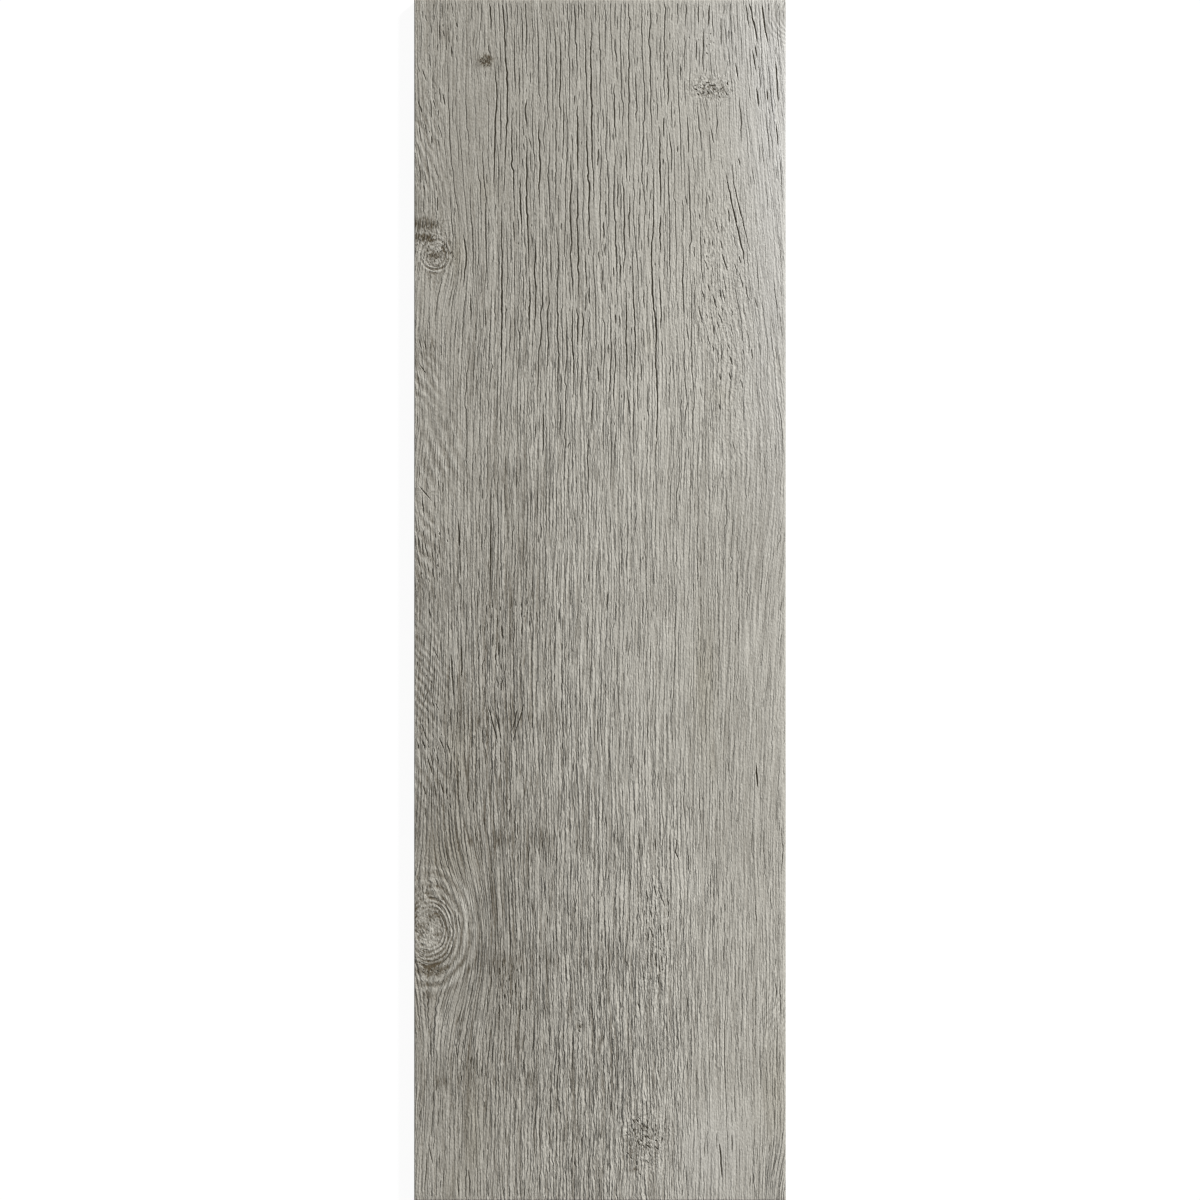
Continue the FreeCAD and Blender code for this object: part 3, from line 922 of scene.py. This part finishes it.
unglazed = given.node(
    "FunctionNodeCompare", {0: level, 1: given.output("Glaze Edge")}, operation="LESS_THAN"
)
whole = given.node(
    "GeometryNodeSetMaterial", {"Geometry": whole, "Selection": unglazed, "Material": biscuit}
)
given.node("NodeGroupOutput", {"Tile": whole})

# The printed glaze of the face: matt, grey as oak that has stood outdoors, printed with fibres that
# follow the grain, smoky stains, olive patches and the rings of the knots, and dark in the cracks from
# pigment in their bottoms and painted shade on their right walls, with a painted highlight on their left
# walls.
PALE_FIBRE = (0.67, 0.6485, 0.581, 1.0)
DARK_FIBRE = (0.058, 0.0415, 0.018, 1.0)
# The colour of the pigment in the cracks and of the painted shade on their right walls.
CRACK_INK_AND_SHADE = (0.028, 0.021, 0.008, 1.0)
OLIVE_TINT = (0.86, 0.84, 0.77, 1.0)
TONE, TONE_FALL = 0.412, 0.0022
PALEST, DARKENING = 0.21, 0.48
LINE_TONE, SPECKLE_TONE, WAVE_TONE, PAINTED_HIGHLIGHT_TONE = 0.85, 2.6, 0.9, 0.7
FIBRE_TONE, STREAK_TONE, CLOUD_TONE = 0.4, 0.2, 0.2
GLAZE_RELIEF = 0.00042

glaze, paint, spot = start_finish("printed_oak_glaze")


def laid(name, output="Fac"):
    """A value that the tile's own skin carries."""
    return paint.node("ShaderNodeAttribute", output=output, attribute_name=name)


pigment_and_shade_profile = paint.node("ShaderNodeSeparateXYZ", {0: laid("pigment", "Vector")})
# Pigment in the groove bottoms, and painted shade on their right walls, which face away from the lamp.
ink = pigment_and_shade_profile.ramp(0.2, 0.55) * pigment_and_shade_profile.output("Y")
# A painted highlight: the left wall of each crack near its lip, which faces the lamp, is made paler.
painted_highlight = (pigment_and_shade_profile.ramp(0.0, 0.1) - pigment_and_shade_profile.ramp(0.2, 0.4)) * pigment_and_shade_profile.output("Y")
turns = paint.node("ShaderNodeSeparateXYZ", {0: laid("rings", "Vector")})
grain = laid("grain", "Vector")
felted = laid("felted")
sway = (0.8 + 3.0 * felted) * (grain.noise((9.0, 34.0, 1.0)) - 0.5)
sway = sway + 1.1 * (grain.noise((2.2, 2.8, 1.0), detail=1.0) - 0.5)
sway = paint.node("ShaderNodeCombineXYZ", {"X": sway})
grain = paint.node("ShaderNodeVectorMath", {0: grain, 1: sway}, operation="ADD")
folds = 2.0 * grain.noise((1.9, 60.0, 1.0), detail=1.0) - 1.0
folds = folds.math("ABSOLUTE", folds)
lines = 1.0 - folds.ramp(0.0, 0.1)
ridges = grain.noise((1.0, 30.0, 1.0), detail=1.0).ramp(0.4, 0.6)
nicks = grain.noise((0.85, 5.0, 1.0), detail=1.0)
fibres = grain.noise((2.6, 45.0, 1.0), detail=2.0)
streaks = grain.noise((6.0, 90.0, 1.0), detail=2.0)
clouds = spot.noise((16.0, 60.0, 16.0), detail=2.0)
grit = spot.noise((0.7, 1.2, 0.7), detail=1.0)
brushed = laid("brushed")
brushing = 1.5 * (folds.ramp(0.0, 0.28) - 0.62) + (ridges - 0.5) + (0.7 + 2.8 * felted) * (nicks - 0.5)
brushing = brushing * brushed
speckle = (grit - 0.5) * laid("gritty")
unrest = spot.noise((7.0, 9.0, 7.0))
wave = turns.math("SINE", 2.0 * pi * (turns + 1.1 * (unrest - 0.5)))
wave = wave * turns.output("Y") * (0.3 + 1.4 * unrest)
side = spot.node("ShaderNodeSeparateXYZ", {0: spot}, output="X")
tone = TONE - TONE_FALL * side + laid("stain") * (0.4 + 1.2 * fibres)
tone = tone + LINE_TONE * lines * brushed - SPECKLE_TONE * speckle + WAVE_TONE * wave
# The painted highlight lightens the tone on the lit left walls of the cracks.
tone = tone + laid("ticked") * (1.0 - nicks.ramp(0.36, 0.5)) - PAINTED_HIGHLIGHT_TONE * painted_highlight
tone = tone + FIBRE_TONE * (fibres - 0.5) + STREAK_TONE * (streaks - 0.5) + CLOUD_TONE * (clouds - 0.5)
colour = (PALEST + DARKENING * tone).mix(PALE_FIBRE, DARK_FIBRE)
tinted = laid("olive") * (0.4 + 0.7 * fibres)
colour = tinted.mix(colour, OLIVE_TINT, blend_type="MULTIPLY", clamp_factor=False)
# The cracks are darkened by pigment and by painted shade.
colour = ink.mix(colour, CRACK_INK_AND_SHADE)
height = brushing + 2.0 * speckle - 0.5 * wave
end_finish(paint, colour, 0.62 + 0.16 * fibres, height, GLAZE_RELIEF)

# The whole tile as one closed skin, laid where the solid lies. Edges sharper than the crease angle
# stay crisp.
CREASE = 18.0
tile_mesh.materials.append(glaze)
tile_mesh.materials.append(biscuit)
pressing = tile.modifiers.new("keyed_back", "NODES")
pressing.node_group = back
for identifier, value in key_inputs.items():
    pressing[identifier] = value
depsgraph = bpy.context.evaluated_depsgraph_get()
pressed = bpy.data.meshes.new_from_object(
    tile.evaluated_get(depsgraph), preserve_all_data_layers=True, depsgraph=depsgraph
)
tile.modifiers.remove(pressing)
tile.data = pressed
pressed.name = "printed_plank"
pressed.materials.pop(index=pressed.materials[:].index(None))
pressed.shade_smooth()
pressed.set_sharp_from_angle(angle=radians(CREASE))

# Where each face of the skin lies on the flat sheet that its finish can be baked on: the glazed face takes
# most of the sheet, beside it stand the back, the two long sides and, end to end, the two short ones.
FACE_FROM, FACE_WIDTH = 0.004, 0.8
BACK_FROM, BACK_WIDTH = 0.82, 0.12
RIGHT_FROM, LEFT_FROM, LONG_WIDTH = 0.952, 0.976, 0.014
SHORT_FROM, SHORT_WIDTH, SHORT_LENGTH = 0.9925, 0.007, 0.48
SHEET_MARGIN = 0.002
BACK_TILT = -0.3


def read_out(items, name, kind=np.float32, width=1):
    """One property of all of a mesh's parts."""
    values = np.empty(len(items) * width, dtype=kind)
    items.foreach_get(name, values)
    return values.reshape(-1, width) if width > 1 else values


corner_count = read_out(pressed.polygons, "loop_total", np.int32)
place = read_out(pressed.vertices, "co", width=3)[read_out(pressed.loops, "vertex_index", np.int32)] / MM
facing = np.repeat(read_out(pressed.polygons, "normal", width=3), corner_count, axis=0)
glazed = np.repeat(read_out(pressed.polygons, "material_index", np.int32), corner_count) == 0
across = (1.0 + place[:, 0] / half_width) / 2
along = (1.0 + place[:, 1] / half_length) / 2
drop = 1.0 - place[:, 2] / (face_height - ARRIS_RADIUS)
on_back = facing[:, 2] < BACK_TILT
on_long_side = np.abs(facing[:, 0]) > np.abs(facing[:, 1])
sheet_u = np.select(
    (glazed, on_back, on_long_side & (facing[:, 0] > 0.0), on_long_side),
    (
        FACE_FROM + FACE_WIDTH * across, BACK_FROM + BACK_WIDTH * (1.0 - across),
        RIGHT_FROM + LONG_WIDTH * drop, LEFT_FROM + LONG_WIDTH * (1.0 - drop),
    ),
    SHORT_FROM + SHORT_WIDTH * drop,
)
short_run = np.where(facing[:, 1] > 0.0, 1.0 - SHORT_LENGTH * across, SHORT_LENGTH * across)
sheet_v = np.where(glazed | on_back | on_long_side, along, short_run)
sheet = np.stack((sheet_u, SHEET_MARGIN + (1.0 - 2.0 * SHEET_MARGIN) * sheet_v), axis=1)
flat_map = pressed.uv_layers.new(name="OFBake")
flat_map.uv.foreach_set("vector", sheet.astype(np.float32).ravel())

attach(tile, "root")
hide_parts("plank_tile")

# The floor: one broad pale sheet, white to the camera, which keeps the tile's faint shadow.
FLOOR_SIDE = 12.0
FLOOR_COLOUR = (0.1, 0.1, 0.1, 1.0)
FLOOR_GLOW = 0.94
corner = FLOOR_SIDE / 2
floor_mesh = bpy.data.meshes.new("floor")
signs = ((-1, -1), (1, -1), (1, 1), (-1, 1))
floor_mesh.from_pydata([(corner * x, corner * y, 0.0) for x, y in signs], [], [(0, 1, 2, 3)])
floor = bpy.data.objects.new("floor", floor_mesh)
bpy.context.scene.collection.objects.link(floor)
pale_sheet = bpy.data.materials.new("pale_sheet")
pale_sheet.use_nodes = True
pale_sheet.node_tree.nodes.clear()
paint = Wire(pale_sheet.node_tree)


def seen_directly(paint):
    """1 for what the camera sees, straight or in gloss or glass, and 0 for light on the object."""
    path = paint.node("ShaderNodeLightPath", output="Is Camera Ray")
    total = path + path.output("Is Glossy Ray") + path.output("Is Transmission Ray")
    return total.math("MINIMUM", total, 1.0)


matt = paint.node("ShaderNodeBsdfDiffuse", {"Color": FLOOR_COLOUR})
glow = paint.node("ShaderNodeEmission", {"Strength": FLOOR_GLOW * seen_directly(paint)})
sheet = paint.node("ShaderNodeAddShader", {0: matt, 1: glow})
paint.node("ShaderNodeOutputMaterial", {"Surface": sheet})
floor_mesh.materials.append(pale_sheet)

# Soft studio light: a broad lamp high on the right beyond the far end, and a white room.
KEY_DIRECTION = Vector((-1.1, -1.0, -0.95))
KEY_STRENGTH = 4.4
KEY_SPREAD = 10.0
ROOM_LEVEL = 0.25
key = bpy.data.lights.new("key_lamp", "SUN")
key.energy = KEY_STRENGTH
key.angle = radians(KEY_SPREAD)
key_lamp = bpy.data.objects.new("key_lamp", key)
key_lamp.rotation_euler = KEY_DIRECTION.to_track_quat("-Z", "Y").to_euler()
key_lamp.location = -2.0 * KEY_DIRECTION
bpy.context.scene.collection.objects.link(key_lamp)
room = bpy.data.worlds.new("white_room")
room.use_nodes = True
room.node_tree.nodes.clear()
paint = Wire(room.node_tree)
level = ROOM_LEVEL + (1.0 - ROOM_LEVEL) * seen_directly(paint)
walls = paint.node("ShaderNodeBackground", {"Strength": level})
walls.socket.node.inputs["Color"].default_value = (1.0, 1.0, 1.0, 1.0)
paint.node("ShaderNodeOutputWorld", {"Surface": walls})
bpy.context.scene.world = room

# The camera looks straight down. The length of the tile fills the picture, and its ends are trimmed
# by a hair, so that no floor shows beyond them.
LENS, SENSOR = 200.0, 36.0
END_TRIM = 0.3
rise = (half_length - END_TRIM) * MM * LENS / (SENSOR / 2)
lens = bpy.data.cameras.new("camera")
lens.lens = LENS
lens.sensor_width = SENSOR
camera = bpy.data.objects.new("camera", lens)
camera.location = (0.0, 0.0, (face_height - ARRIS_RADIUS) * MM + rise)
bpy.context.scene.collection.objects.link(camera)
bpy.context.scene.camera = camera
bpy.context.scene.view_settings.view_transform = "Standard"
